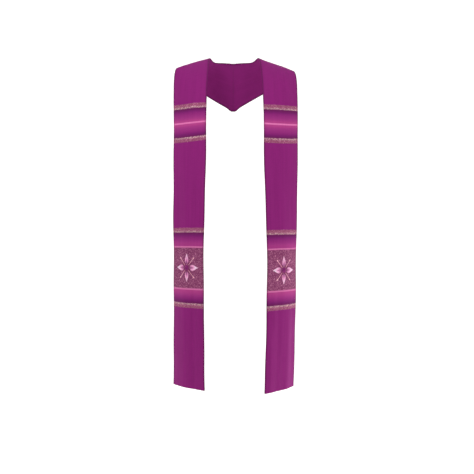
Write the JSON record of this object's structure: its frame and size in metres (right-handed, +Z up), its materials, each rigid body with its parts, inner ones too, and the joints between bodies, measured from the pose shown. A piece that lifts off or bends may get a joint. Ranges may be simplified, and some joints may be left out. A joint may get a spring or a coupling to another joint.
{
  "type": "clerical stole",
  "caption": "Long woven purple stole in its worn, hollow form, banded in shaded stripes with an embroidered flower on the lower front of each side.",
  "frame": {"origin": "the nape: the top of the centre-back seam, where the stole rests on the back of the wearer's neck", "axes": "+Z up; the stole faces -Y; +X is the wearer's left"},
  "size_m": [0.4757, 0.2872, 1.2894],
  "materials": {
    "cloth": "matte purple wool cloth, with woven bands of gold and pink yarn",
    "embroidery": "pale pink satin stitch with a soft sheen"
  },
  "bodies": {
    "root": {"stole_half_right": "cloth", "stole_half_left": "cloth", "flower_right": "embroidery", "flower_left": "embroidery"}
  },
  "joints": []
}
